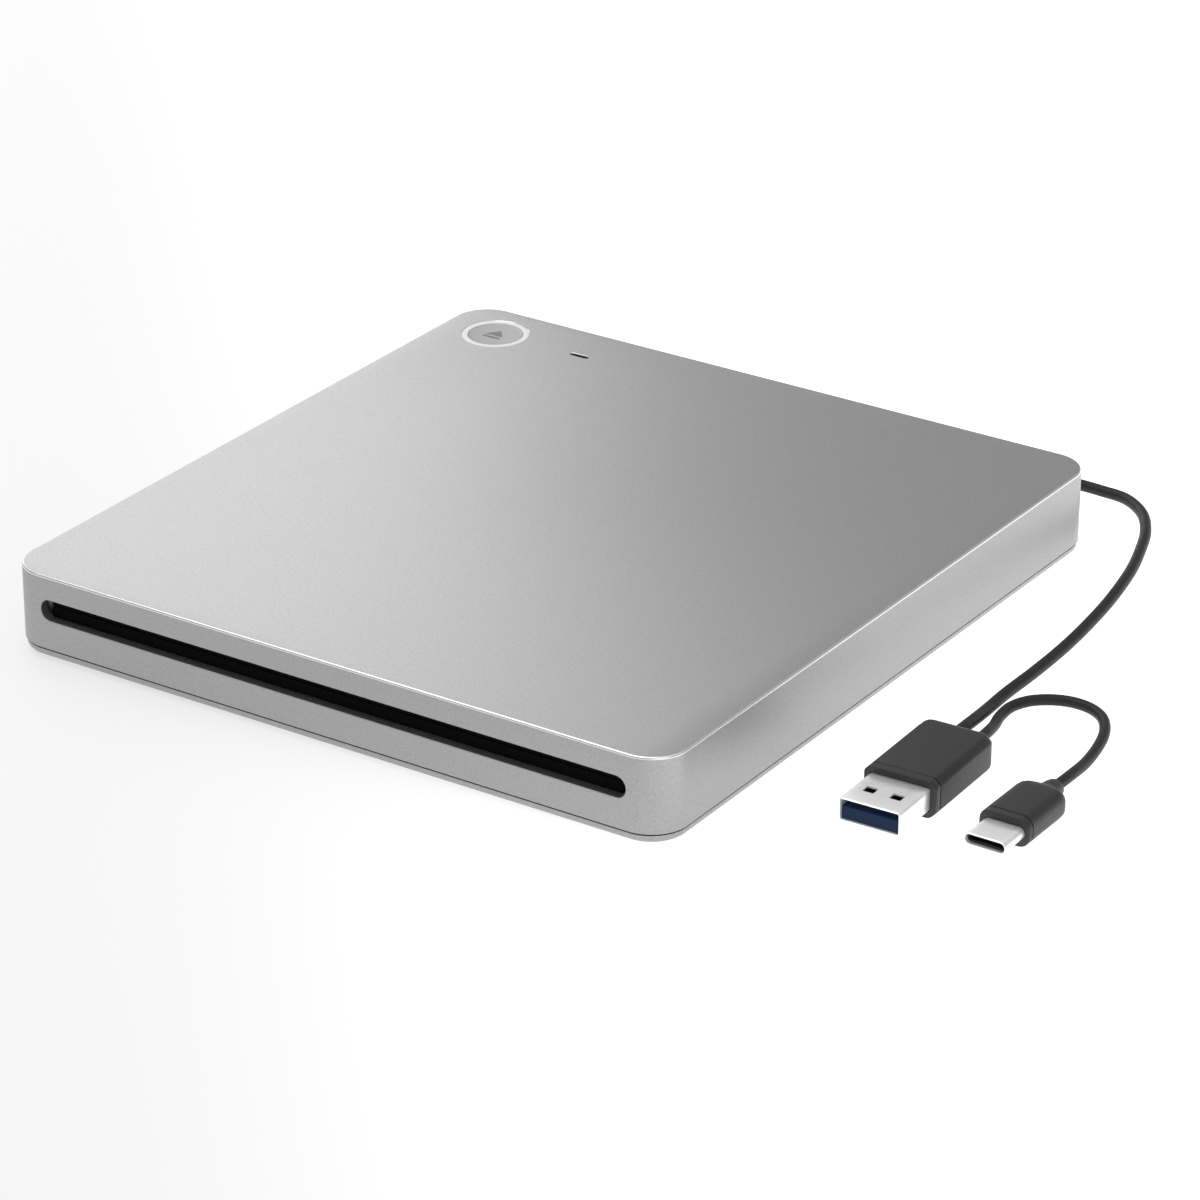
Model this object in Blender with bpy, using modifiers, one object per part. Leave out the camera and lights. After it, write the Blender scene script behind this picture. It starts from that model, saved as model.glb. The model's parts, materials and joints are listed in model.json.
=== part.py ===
"""Slot-loading external optical drive with a captive lead, a USB-A plug and a USB-C branch plug.

+X is to the right, -Y is the front face with the disc slot, +Z is up. The origin is the middle of the
footprint, on the surface that the feet stand on. Every size below is in millimetres; MM turns it into metres.
"""
import math

import bmesh
import bpy
from mathutils import Matrix, Vector

MM = 0.001
GAP = 0.3                     # clearance between neighbouring solids

# ---- case ----
WIDTH = 145.0
DEPTH = 152.0
CORNER = 7.5
TOP_Z = 17.5
SHELL_Z = 2.5                 # lower rim of the shell
WALL = 2.0
CEILING_Z = 16.0
EDGE_ROUND = 0.45
BASE_Z = 0.6                  # underside of the base plate
BASE_TOP_Z = 2.2
BASE_ROUND = 1.2
FOOT_RADIUS = 5.0
FOOT_X, FOOT_Y = 58.0, 61.0
SCREW_X, SCREW_Y = 66.8, 70.3

SLOT_HALF = 64.5              # the disc slot
SLOT_Z = (8.45, 12.65)

KEY = (-60.1, 64.6)           # centre of the round eject key
KEY_RADIUS = 5.35
RING_RADII = (5.65, 6.9)
KEY_Z = (15.5, 17.45)
LED = (-39.5, 64.6)
LED_LENGTH, LED_WIDTH = 4.4, 1.1
BOARD_Z = (14.0, 14.9)        # touch board under the key and the light

CABLE_X, CABLE_Z = 38.0, 9.0  # where the lead leaves the back wall
CABLE_RADIUS = 1.15
BRANCH_RADIUS = 1.05

# ---- disc drive inside the case ----
DRIVE_X = 64.0
DRIVE_Y = (-72.5, 54.5)
DRIVE_Z = (3.0, 14.6)
SHEET = 0.8
COVER_Z = (14.9, 15.5)
DISC_CENTRE = (0.0, -9.0)

# tilting deck: u runs from the disc centre towards its pivot, v across it
DECK_TURN = 135.0             # direction of u, degrees from +X
DECK_DROP = 2.25              # degrees that the deck hangs down at rest
PIVOT_U = 74.0
PIVOT_Z = 8.3
RAIL_V = (-17.0, 14.5)        # the two guide rails' places across the deck
SCREW_V = 19.0                # and the lead screw's
RAIL_RADIUS = 1.0
RAIL_BORE = 1.35
DECK_Z = (-0.7, 0.7)          # from the pivot height

CAM_TRAVEL = 14.0
GEAR = (40.0, 36.0)
PINION_RADIUS = 3.0
WHEEL_TEETH = 20
WORM_Y, WORM_Z = 45.3, 7.6

EJECT_PIVOT = (-57.3, 21.5)
EJECT_TIP = (-16.0, 14.0)
LOADING_PIVOT = (57.0, 24.0)
LOADING_TIP = (49.0, -21.0)
ARM_Z = (13.2, 14.4)
ARM_WIDTH = 3.9
ROLLER_Z = (9.8, 12.9)

# ---- plugs ----
A_FRONT = (97.4, -39.2)       # middle of the USB-A housing's front face
A_YAW = 2.0
A_SIZE = (14.4, 22.5, 7.2)
A_SHELL = (12.0, 4.5)         # the standard plug's width and height
A_SHELL_Y = (-10.8, 5.7)      # its steel shell, from the housing's front face
A_SHEET = 0.35
C_FRONT = (118.5, -39.5)
C_SIZE = (10.0, 14.5, 5.6)
C_SHELL = (8.25, 2.4)
C_SHELL_Y = (-6.6, 3.7)
C_SHEET = 0.3

MAIN_ROUTE = [
    (38.0, 82.3, 9.0), (38.0, 86.0, 8.8), (39.5, 90.5, 7.6), (43.5, 94.2, 5.6), (49.5, 96.0, 3.4),
    (56.0, 96.4, 1.8), (62.5, 97.0, 1.2), (69.0, 96.2, 1.2), (75.0, 91.8, 1.2), (79.5, 84.8, 1.2),
    (82.6, 77.0, 1.2), (85.6, 67.5, 1.2), (88.2, 55.5, 1.2), (89.9, 44.2, 1.2), (91.1, 32.2, 1.2),
    (91.6, 20.0, 1.2), (91.6, 9.0, 1.2), (92.1, 2.0, 1.4), (93.2, -4.5, 2.4), (94.2, -11.0, 3.4),
    (94.5, -16.2, 3.6),
]
BRANCH_ROUTE = [
    (98.9, -16.1, 3.6), (98.5, -11.0, 3.2), (96.9, -5.0, 1.9), (95.3, 0.0, 1.2), (95.0, 4.7, 1.1),
    (96.6, 8.6, 1.1), (99.8, 11.3, 1.1), (103.6, 12.5, 1.1), (107.6, 12.0, 1.1), (111.2, 9.6, 1.1),
    (114.0, 5.0, 1.1), (115.8, -1.0, 1.1), (117.2, -8.0, 1.5), (118.1, -14.5, 2.4), (118.4, -20.0, 2.8),
]

COLOURS = {
    # name: (red, green, blue, roughness, metallic)
    "aluminium": (0.50, 0.50, 0.51, 0.42, 1.0),
    "steel": (0.55, 0.55, 0.56, 0.35, 1.0),
    "connector_steel": (0.78, 0.78, 0.78, 0.2, 1.0),
    "brass": (0.70, 0.52, 0.22, 0.35, 1.0),
    "rubber": (0.03, 0.03, 0.03, 0.8, 0.0),
    "felt": (0.015, 0.015, 0.015, 0.95, 0.0),
    "light_guide": (0.82, 0.82, 0.82, 0.4, 0.0),
    "key_face": (0.45, 0.45, 0.46, 0.4, 0.0),
    "smoked_window": (0.01, 0.01, 0.012, 0.15, 0.0),
    "circuit_board": (0.02, 0.10, 0.05, 0.5, 0.0),
    "connector_plastic": (0.75, 0.72, 0.62, 0.5, 0.0),
    "black_plastic": (0.02, 0.02, 0.022, 0.5, 0.0),
    "white_plastic": (0.75, 0.75, 0.72, 0.45, 0.0),
    "deck_metal": (0.42, 0.43, 0.44, 0.45, 1.0),
    "magnesium": (0.30, 0.31, 0.33, 0.5, 1.0),
    "lens": (0.35, 0.45, 0.60, 0.05, 0.0),
    "flex_film": (0.55, 0.27, 0.06, 0.4, 0.0),
    "plug_black": (0.025, 0.025, 0.027, 0.45, 0.0),
    "cable_black": (0.02, 0.02, 0.021, 0.55, 0.0),
    "plug_blue": (0.005, 0.03, 0.09, 0.4, 0.0),
}


# ---------------------------------------------------------------- scene helpers

def clear_scene():
    for thing in list(bpy.data.objects):
        bpy.data.objects.remove(thing, do_unlink=True)


def new_collection(name):
    collection = bpy.data.collections.new(name)
    bpy.context.scene.collection.children.link(collection)
    return collection


def material(name):
    """Give the named plain material, made once."""
    found = bpy.data.materials.get(name)
    if found:
        return found
    red, green, blue, roughness, metallic = COLOURS[name]
    made = bpy.data.materials.new(name)
    made.use_nodes = True
    shader = made.node_tree.nodes["Principled BSDF"]
    shader.inputs["Base Color"].default_value = (red, green, blue, 1.0)
    shader.inputs["Roughness"].default_value = roughness
    shader.inputs["Metallic"].default_value = metallic
    return made


def place(name, data, finish, parent=None):
    """Link an object for this data; with no finish it is a cutter or a guide."""
    thing = bpy.data.objects.new(name, data)
    if finish:
        PARTS.objects.link(thing)
        data.materials.append(material(finish))
    else:
        CUTTERS.objects.link(thing)
        thing.hide_render = True
        thing.display_type = 'WIRE'
    thing.parent = parent
    return thing


def from_bmesh(name, bm, finish, parent=None, smooth_angle=None):
    bmesh.ops.recalc_face_normals(bm, faces=bm.faces)
    mesh = bpy.data.meshes.new(name)
    bm.to_mesh(mesh)
    bm.free()
    if smooth_angle:
        mesh.shade_smooth()
        mesh.set_sharp_from_angle(angle=math.radians(smooth_angle))
    return place(name, mesh, finish, parent)


def empty(name, location, rotation=(0, 0, 0), parent=None):
    thing = bpy.data.objects.new(name, None)
    PARTS.objects.link(thing)
    thing.location = Vector(location) * MM
    thing.rotation_euler = [math.radians(angle) for angle in rotation]
    thing.parent = parent
    return thing


# ---------------------------------------------------------------- outlines, in millimetres

def arc(centre, radius, start, end, steps):
    """Points along an arc, with both ends; angles in degrees."""
    points = []
    for step in range(steps + 1):
        angle = math.radians(start + (end - start) * step / steps)
        points.append((centre[0] + radius * math.cos(angle), centre[1] + radius * math.sin(angle)))
    return points


def circle(centre, radius, steps=32):
    return arc(centre, radius, 0, 360, steps)[:-1]


def rectangle(x_low, x_high, y_low, y_high, radius=0.0, steps=5):
    if not radius:
        return [(x_low, y_low), (x_high, y_low), (x_high, y_high), (x_low, y_high)]
    points = arc((x_high - radius, y_low + radius), radius, -90, 0, steps)
    points += arc((x_high - radius, y_high - radius), radius, 0, 90, steps)
    points += arc((x_low + radius, y_high - radius), radius, 90, 180, steps)
    points += arc((x_low + radius, y_low + radius), radius, 180, 270, steps)
    return points


def obround(centre, length, width, steps=8):
    """A slot-shaped outline whose long side lies along X."""
    reach = (length - width) / 2
    points = arc((centre[0] + reach, centre[1]), width / 2, -90, 90, steps)
    points += arc((centre[0] - reach, centre[1]), width / 2, 90, 270, steps)
    return points


# ---------------------------------------------------------------- solids

def plate(name, outlines, low, high, finish, parent=None):
    """A flat plate as a mesh: the first outline is its edge and the others are holes."""
    curve = bpy.data.curves.new(name, 'CURVE')
    curve.dimensions = '2D'
    curve.fill_mode = 'BOTH'
    curve.extrude = (high - low) / 2 * MM
    for outline in outlines:
        spline = curve.splines.new('POLY')
        spline.points.add(len(outline) - 1)
        for point, (x, y) in zip(spline.points, outline):
            point.co = (x * MM, y * MM, 0.0, 1.0)
        spline.use_cyclic_u = True
    flat = bpy.data.objects.new(name + "_outline", curve)
    bpy.context.scene.collection.objects.link(flat)
    bpy.context.view_layer.update()
    mesh = bpy.data.meshes.new_from_object(flat.evaluated_get(bpy.context.evaluated_depsgraph_get()))
    bpy.data.objects.remove(flat, do_unlink=True)
    bm = bmesh.new()
    bm.from_mesh(mesh)
    bpy.data.meshes.remove(mesh)
    bmesh.ops.remove_doubles(bm, verts=bm.verts, dist=1e-6)
    bmesh.ops.translate(bm, verts=bm.verts, vec=(0, 0, (low + high) / 2 * MM))
    return from_bmesh(name, bm, finish, parent)


def upright(thing):
    """Stand a plate up, so that its outline lies in XZ and its thickness runs along Y."""
    turn = Matrix.Rotation(math.radians(90), 4, 'X')
    thing.data.transform(turn)
    return thing


def sideways(thing):
    """Turn a plate so that its outline's x runs along Y, its y along Z and its thickness along X."""
    turn = Matrix.Rotation(math.radians(90), 4, 'Z') @ Matrix.Rotation(math.radians(90), 4, 'X')
    thing.data.transform(turn)
    return thing


def box(name, low, high, finish, parent=None):
    bm = bmesh.new()
    size = [b - a for a, b in zip(low, high)]
    middle = [(a + b) / 2 for a, b in zip(low, high)]
    bmesh.ops.create_cube(bm, size=1.0)
    bmesh.ops.scale(bm, verts=bm.verts, vec=[s * MM for s in size])
    bmesh.ops.translate(bm, verts=bm.verts, vec=[m * MM for m in middle])
    return from_bmesh(name, bm, finish, parent)


def rod(name, start, end, radius, finish, parent=None, end_radius=None, segments=24):
    """A round bar, or a cone where end_radius differs, from start to end."""
    bm = bmesh.new()
    along = Vector(end) - Vector(start)
    far = radius if end_radius is None else end_radius
    bmesh.ops.create_cone(bm, cap_ends=True, segments=segments, radius1=radius * MM, radius2=far * MM,
                          depth=along.length * MM)
    middle = (Vector(start) + Vector(end)) / 2 * MM
    turn = Vector((0, 0, 1)).rotation_difference(along).to_matrix().to_4x4()
    bmesh.ops.transform(bm, matrix=Matrix.Translation(middle) @ turn, verts=bm.verts)
    return from_bmesh(name, bm, finish, parent, smooth_angle=40)


def turned(name, centre, profile, finish, parent=None, segments=28):
    """A turned solid: profile is (radius, height) from its top on the axis down its outside."""
    mesh = bpy.data.meshes.new(name)
    points = [((radius * MM), 0.0, height * MM) for radius, height in profile]
    mesh.from_pydata(points, [(i, i + 1) for i in range(len(points) - 1)], [])
    thing = place(name, mesh, finish, parent)
    thing.location = Vector((centre[0], centre[1], 0.0)) * MM
    screw = thing.modifiers.new("turn", 'SCREW')
    screw.steps = segments
    screw.render_steps = segments
    screw.use_merge_vertices = True
    screw.merge_threshold = 1e-6
    screw.use_smooth_shade = True
    return thing


def threaded(name, start, length, core, crest, pitch, starts, steps_a_turn, finish, parent=None):
    """A screw along +X: a lobed section carried along the axis while it turns."""
    lobes = 6 * starts
    turns = length / pitch / starts
    rings = round(turns * steps_a_turn)
    bm = bmesh.new()
    ring = []
    for i in range(lobes):
        angle = 2 * math.pi * i / lobes
        lift = max(0.0, math.cos(starts * angle))
        radius = core + (crest - core) * lift
        ring.append(bm.verts.new((0.0, radius * math.cos(angle) * MM, radius * math.sin(angle) * MM)))
    face = bm.faces.new(ring)
    turn = Matrix.Rotation(2 * math.pi * turns / rings, 4, 'X')
    for step in range(rings):
        made = bmesh.ops.extrude_face_region(bm, geom=[face])["geom"]
        if step:
            bmesh.ops.delete(bm, geom=[face], context='FACES_ONLY')
        face = [part for part in made if isinstance(part, bmesh.types.BMFace)][0]
        bmesh.ops.rotate(bm, verts=face.verts, cent=(0, 0, 0), matrix=turn.to_3x3())
        bmesh.ops.translate(bm, verts=face.verts, vec=(length / rings * MM, 0, 0))
    bmesh.ops.translate(bm, verts=bm.verts, vec=Vector(start) * MM)
    return from_bmesh(name, bm, finish, parent)


def combine(thing, operation, others):
    """Add a Boolean modifier for each of the others, which become hidden guides."""
    for other in others:
        step = thing.modifiers.new(other.name, 'BOOLEAN')
        step.operation = operation
        step.object = other
        step.solver = 'EXACT'
    return thing


def cut(thing, *others):
    return combine(thing, 'DIFFERENCE', others)


def join(thing, *others):
    return combine(thing, 'UNION', others)


def round_edges(thing, width, segments, wanted):
    """Bevel the edges whose two ends both pass the test; the test gets a point in millimetres."""
    bm = bmesh.new()
    bm.from_mesh(thing.data)
    weight = bm.edges.layers.float.new("bevel_weight_edge")
    for edge in bm.edges:
        if edge.calc_face_angle(0.0) > math.radians(30) and all(wanted(v.co / MM) for v in edge.verts):
            edge[weight] = 1.0
    bm.to_mesh(thing.data)
    bm.free()
    bevel = thing.modifiers.new("round", 'BEVEL')
    bevel.limit_method = 'WEIGHT'
    bevel.width = width * MM
    bevel.segments = segments
    return thing


# ---------------------------------------------------------------- routes

def smooth_route(route, spacing):
    """Points a steady distance apart on a Catmull-Rom curve through the route's points, in millimetres."""
    points = [Vector(p) for p in route]
    ends = [2 * points[0] - points[1]] + points + [2 * points[-1] - points[-2]]
    fine = [points[0]]
    for before, here, there, after in zip(ends, ends[1:], ends[2:], ends[3:]):
        for step in range(1, 17):
            t = step / 16
            fine.append(0.5 * (2 * here + (there - before) * t
                               + (2 * before - 5 * here + 4 * there - after) * t * t
                               + (3 * here - before - 3 * there + after) * t ** 3))
    total = sum((b - a).length for a, b in zip(fine, fine[1:]))
    count = round(total / spacing)
    spaced, walked = [fine[0]], 0.0
    for a, b in zip(fine, fine[1:]):
        walked += (b - a).length
        if walked >= total * len(spaced) / count and len(spaced) < count:
            spaced.append(b)
    return spaced + [fine[-1]]


def cable(name, route, radius, finish):
    """A round cable as a curve with filled ends."""
    curve = bpy.data.curves.new(name, 'CURVE')
    curve.dimensions = '3D'
    curve.bevel_depth = radius * MM
    curve.bevel_resolution = 2
    curve.use_fill_caps = True
    points = smooth_route(route, 4.4)
    spline = curve.splines.new('POLY')
    spline.points.add(len(points) - 1)
    for target, point in zip(spline.points, points):
        target.co = (*(point * MM), 1.0)
    return place(name, curve, finish)


# ---------------------------------------------------------------- case

CORNERS = {"front_left": (-1, -1), "front_right": (1, -1), "rear_left": (-1, 1), "rear_right": (1, 1)}


def case_outline(inset, steps=10):
    return rectangle(-WIDTH / 2 + inset, WIDTH / 2 - inset, -DEPTH / 2 + inset, DEPTH / 2 - inset,
                     CORNER - inset, steps)


def make_top_shell():
    shell = plate("top_shell", [case_outline(0.0)], SHELL_Z, TOP_Z, "aluminium")
    round_edges(shell, EDGE_ROUND, 3, lambda p: p.z > TOP_Z - 0.01)
    cavity = plate("cut_cavity", [case_outline(WALL)], SHELL_Z - 1, CEILING_Z, None)
    posts = []
    for name, (sx, sy) in CORNERS.items():
        x, y = sx * SCREW_X, sy * SCREW_Y
        posts.append(rod("post_" + name, (x, y, SHELL_Z + 0.3), (x, y, CEILING_Z + 0.4), 2.6, None))
        posts.append(rod("bore_" + name, (x, y, SHELL_Z - 1), (x, y, 9.5), 1.1, None, segments=16))
    middle_z = sum(SLOT_Z) / 2
    height = SLOT_Z[1] - SLOT_Z[0]
    slot = upright(plate("cut_slot", [obround((0, middle_z), 2 * SLOT_HALF, height)],
                         DEPTH / 2 - WALL - 1, DEPTH / 2 + 1, None))
    ring = plate("cut_ring", [circle(KEY, RING_RADII[1] + GAP, 48)], CEILING_Z - 1, TOP_Z + 1, None)
    led = plate("cut_led", [obround(LED, LED_LENGTH + 2 * GAP, LED_WIDTH + 2 * GAP)],
                CEILING_Z - 1, TOP_Z + 1, None)
    hole = rod("cut_cable", (CABLE_X, DEPTH / 2 - WALL - 1, CABLE_Z), (CABLE_X, DEPTH / 2 + 1, CABLE_Z),
               2.6 + GAP, None)
    cut(shell, cavity)
    join(shell, *posts[0::2])
    cut(shell, *posts[1::2])
    cut(shell, slot, ring, led, hole)


def make_base():
    base = plate("base_plate", [case_outline(GAP)], BASE_Z, BASE_TOP_Z, "aluminium")
    round_edges(base, BASE_ROUND, 3, lambda p: p.z < BASE_Z + 0.01)
    for name, (sx, sy) in CORNERS.items():
        x, y = sx * FOOT_X, sy * FOOT_Y
        cut(base, rod("cut_foot_" + name, (x, y, 0), (x, y, BASE_Z + 0.5), FOOT_RADIUS + GAP, None))
        turned("foot_" + name, (x, y), [(0, 0.8), (FOOT_RADIUS, 0.8), (FOOT_RADIUS, 0.25),
                                        (FOOT_RADIUS - 0.3, 0.0), (0, 0.0)], "rubber")
        x, y = sx * SCREW_X, sy * SCREW_Y
        cut(base, rod("cut_shank_" + name, (x, y, 0), (x, y, 3), 1.1, None, segments=16),
            rod("cut_head_" + name, (x, y, 0), (x, y, 1.45), 1.8, None))
        screw = turned("case_screw_" + name, (x, y),
                       [(0, 8.5), (0.5, 8.5), (0.8, 8.0), (0.8, 1.15), (1.5, 1.15), (1.5, 0.75), (0, 0.75)],
                       "steel", segments=20)
        for turn in (0, 90):
            blade = box("cut_drive_%s_%d" % (name, turn), (-0.9, -0.16, 0.5), (0.9, 0.16, 1.0), None)
            blade.location = (x * MM, y * MM, 0)
            blade.rotation_euler.z = math.radians(turn)
            cut(screw, blade)


def make_slot_lips():
    """Two dust lips behind the slot, above and below it."""
    y_low, y_high = DEPTH / 2 - WALL - GAP - 0.9, DEPTH / 2 - WALL - GAP
    lips = (("felt_lip_upper", SLOT_Z[1] + GAP, 14.6), ("felt_lip_lower", 5.6, SLOT_Z[0] - GAP))
    for name, low, high in lips:
        upright(plate(name, [rectangle(-62, 62, low, high, 0.4, 2)], y_low, y_high, "felt"))


def make_key_and_light():
    plate("eject_touch_pad", [circle(KEY, KEY_RADIUS, 48)], KEY_Z[0], KEY_Z[1] - 0.05, "key_face")
    plate("eject_light_ring", [circle(KEY, RING_RADII[1], 48), circle(KEY, RING_RADII[0], 48)],
          *KEY_Z, "light_guide")
    plate("status_led_window", [obround(LED, LED_LENGTH, LED_WIDTH)], *KEY_Z, "smoked_window")
    board = plate("touch_board", [rectangle(-63.5, -32, 56.6, 70, 1.0, 3)], *BOARD_Z, "circuit_board")
    join(board, box("part_led", (LED[0] - 0.9, LED[1] - 0.5, 14.8), (LED[0] + 0.9, LED[1] + 0.5, 15.3), None),
         box("part_sensor", (-52, 60, 12.9), (-48, 64, 14.1), None),
         box("part_plug", (-40, 66, 12.4), (-34, 69, 14.1), None))


# ---------------------------------------------------------------- electronics

def make_electronics():
    bridge = plate("bridge_board", [rectangle(-24, 52, 58.2, 71.5, 1.0, 3)], 4.6, 5.6, "circuit_board")
    chips = [((2, 62.5), (11, 70.5), 1.2), ((16, 64), (21, 69), 0.9), ((25, 61), (27, 66), 1.4),
             ((-20, 61), (-14, 66), 1.8), ((-10, 66), (-6, 70), 1.5)]
    for i, (low, high, tall) in enumerate(chips):
        join(bridge, box("bridge_chip_%d" % i, (*low, 5.5), (*high, 5.6 + tall), None))
    join(bridge, *[rod("bridge_leg_%d" % i, (x, y, BASE_TOP_Z + GAP), (x, y, 4.7), 1.6, None)
                   for i, (x, y) in enumerate([(-20, 68.5), (34, 69), (-21, 60.5), (40, 60.5)])])
    header = box("cable_header", (33, 63.0, 5.9), (43, 66.5, 11.2), "connector_plastic")
    cut(header, box("cut_header", (34, 62, 7.0), (42, 65.2, 10.4), None))
    rod("inner_lead", (CABLE_X, 66.8, CABLE_Z), (CABLE_X, 71.4, CABLE_Z), 1.2, "cable_black", segments=16)
    make_grommet()

    main = plate("main_board", [rectangle(-12, 16, 38.5, 53.2, 0.8, 3)], 5.0, 5.9, "circuit_board")
    join(main, box("main_chip_0", (-8, 39.5, 5.8), (1, 47, 6.9), None),
         box("main_chip_1", (5, 40, 5.8), (11, 45, 6.7), None),
         *[rod("main_leg_%d" % i, (x, y, DRIVE_Z[0] + SHEET + GAP), (x, y, 5.1), 1.3, None)
           for i, (x, y) in enumerate([(-10, 51), (14, 51), (14, 40.5)])])
    socket = box("sata_socket", (-9, 48.6, 6.2), (15, 54.2, 9.6), "black_plastic")
    cut(socket, box("cut_socket", (-7.5, 51, 7.0), (13.5, 55, 8.8), None))
    plug = box("sata_plug", (-9, 54.7, 6.2), (15, 61.5, 9.6), "black_plastic")
    cut(plug, box("cut_plug", (-8, 59.5, 7.0), (14, 62, 9.0), None))
    film = [(-9.5, 38.0), (-2.5, 38.0), (-2.5, 24.5), (-25, 24.5), (-25, 30.5), (-9.5, 30.5)]
    plate("pickup_flex", [film], 4.1, 4.25, "flex_film")


def make_grommet():
    """The strain relief: a flange inside the wall, a neck through it and a tapered collar outside."""
    inner, outer = DEPTH / 2 - WALL - GAP, DEPTH / 2
    neck = rod("cable_grommet", (CABLE_X, inner - 0.6, CABLE_Z), (CABLE_X, outer + 0.4, CABLE_Z), 2.6,
               "rubber")
    flange = rod("grommet_flange", (CABLE_X, inner - 1.6, CABLE_Z), (CABLE_X, inner, CABLE_Z), 3.6, None)
    collar = rod("grommet_collar", (CABLE_X, outer + GAP, CABLE_Z), (CABLE_X, 82.0, CABLE_Z), 2.9, None,
                 end_radius=1.8)
    join(neck, flange, collar)


# ---------------------------------------------------------------- drive frame

def make_chassis():
    low, high = DRIVE_Z
    x, (front, rear) = DRIVE_X, DRIVE_Y
    tray = plate("drive_chassis", [rectangle(-x, x, front, rear)], low, high, "steel")
    inside = box("cut_inside", (-x + SHEET, front - 1, low + SHEET), (x - SHEET, rear - SHEET, high + 1),
                 None)
    well = plate("cut_well", [circle(DISC_CENTRE, 17.0)], low - 1, low + SHEET + 1, None)
    plug_way = box("cut_plug_way", (-11, rear - 2, 4.2), (17, rear + 1, 11), None)
    slots = [box("cut_vent_%d" % i, (-45 + 9 * i, -62, low - 1), (-41 + 9 * i, -44, low + 2), None)
             for i in range(10)]
    cut(tray, inside, well, plug_way, *slots)

    holes = [circle((DISC_CENTRE[0], DISC_CENTRE[1]), 10.0)]
    holes += [circle((sx * 55, y), 1.6, 12) for sx in (-1, 1) for y in (-60, -5)]
    plate("drive_cover", [rectangle(-x, x, front, rear, 1.0, 2)] + holes, *COVER_Z, "steel")
    for name, (sx, sy) in CORNERS.items():
        y = -55 if sy < 0 else 40
        edges = sorted((sx * (x + GAP), sx * (WIDTH / 2 - WALL - GAP)))
        plate("damper_" + name, [rectangle(*edges, y - 5, y + 5, 1.0, 3)], 4.0, 9.0, "rubber")


# ---------------------------------------------------------------- tilting deck

def make_deck():
    turn = math.radians(DECK_TURN)
    pivot = (DISC_CENTRE[0] + PIVOT_U * math.cos(turn), DISC_CENTRE[1] + PIVOT_U * math.sin(turn), PIVOT_Z)
    deck = empty("deck_pivot", pivot, (0.0, -DECK_DROP, DECK_TURN))
    origin = -PIVOT_U                      # the disc centre's u, counted from the pivot

    def at(u, v):
        return (origin + u, v)

    # both outlines lose their outer corners, where the deck reaches into the corner of the drive
    edge = [at(-15, -9), at(-2.5, -21.5), at(65, -21.5), at(76, -10.5), at(76, 12), at(62.5, 25.5),
            at(-15, 25.5)]
    window = [at(15, -19), at(62.3, -19), at(68, -13.3), at(68, 16.3), at(62.5, 21.8), at(15, 21.8)]
    spindle_hole = circle(at(0, 0), 12.5)
    frame = plate("traverse_frame", [edge, window, spindle_hole], *DECK_Z, "deck_metal", deck)
    # the cam pin stands out of the deck's edge, level and square to the cam slider
    drop = Matrix.Rotation(math.radians(-DECK_TURN), 3, 'Z')
    start = drop @ Vector((13.0 - pivot[0], 6.2 - pivot[1], 0.0))
    end = drop @ Vector((21.2 - pivot[0], 6.2 - pivot[1], 0.0))
    pin = rod("cam_pin", start, end, 0.6, None, deck, segments=16)
    lip = rod("pivot_bar", (0.5, -8.5, 0), (0.5, 10.5, 0), 0.9, None, deck, segments=16)
    join(frame, pin, lip)

    base = plate("spindle_base", [circle(at(0, 0), 12.1)], -1.0, 1.0, "steel", deck)
    turned("turntable", at(0, 0), [(0, 4.0), (6.2, 4.0), (7.3, 3.2), (7.3, 2.5), (14.0, 2.5), (14.0, 1.6),
                                   (10.0, 1.6), (10.0, 1.3), (0, 1.3)], "black_plastic", deck)
    for rail, v, far in (("guide_rail_main", RAIL_V[0], 62.8), ("guide_rail_sub", RAIL_V[1], 67.5)):
        rod(rail, (*at(15.5, v), 0), (*at(far, v), 0), RAIL_RADIUS, "steel", deck, segments=16)
    motor = rod("sled_motor", (*at(15.8, SCREW_V), 0), (*at(23.0, SCREW_V), 0), 2.2, "steel", deck)
    join(motor, rod("motor_boss", (*at(22.9, SCREW_V), 0), (*at(23.8, SCREW_V), 0), 0.9, None, deck))
    threaded("lead_screw", (*at(24.2, SCREW_V), 0), 38.0, 0.8, 1.15, 3.0, 2, 8, "steel", deck)
    join(base, rod("spindle_can", at(0, 0) + (-2.3,), at(0, 0) + (0.0,), 9.0, None, deck))
    make_pickup(deck, origin)


def make_pickup(deck, origin):
    """The sliding head, at the inner end of its travel."""
    sled = origin + 24
    body = box("pickup_body", (sled - 8, -15.4, -1.7), (sled + 7, 12.8, 1.0), "magnesium", deck)
    carry = box("pickup_carry", (sled - 7, -18.4, -1.8), (sled + 3.5, -14.8, 1.7), None, deck)
    hook = box("pickup_hook", (sled - 2.5, 12.0, -1.8), (sled + 2.5, 16.3, 1.7), None, deck)
    bores = [rod("cut_bore_%d" % i, (sled - 9, v, 0), (sled + 9, v, 0), RAIL_BORE, None, deck, segments=16)
             for i, v in enumerate(RAIL_V)]
    lens_well = rod("cut_lens_well", (sled, -1, 0.2), (sled, -1, 2), 3.6, None, deck)
    join(body, carry, hook)
    cut(body, *bores, lens_well)
    turned("pickup_lens", (sled, -1), [(0, 1.25), (1.0, 1.15), (2.0, 0.8), (3.0, 0.8), (3.0, 0.5), (0, 0.5)],
           "lens", deck)


# ---------------------------------------------------------------- loading mechanism

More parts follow.
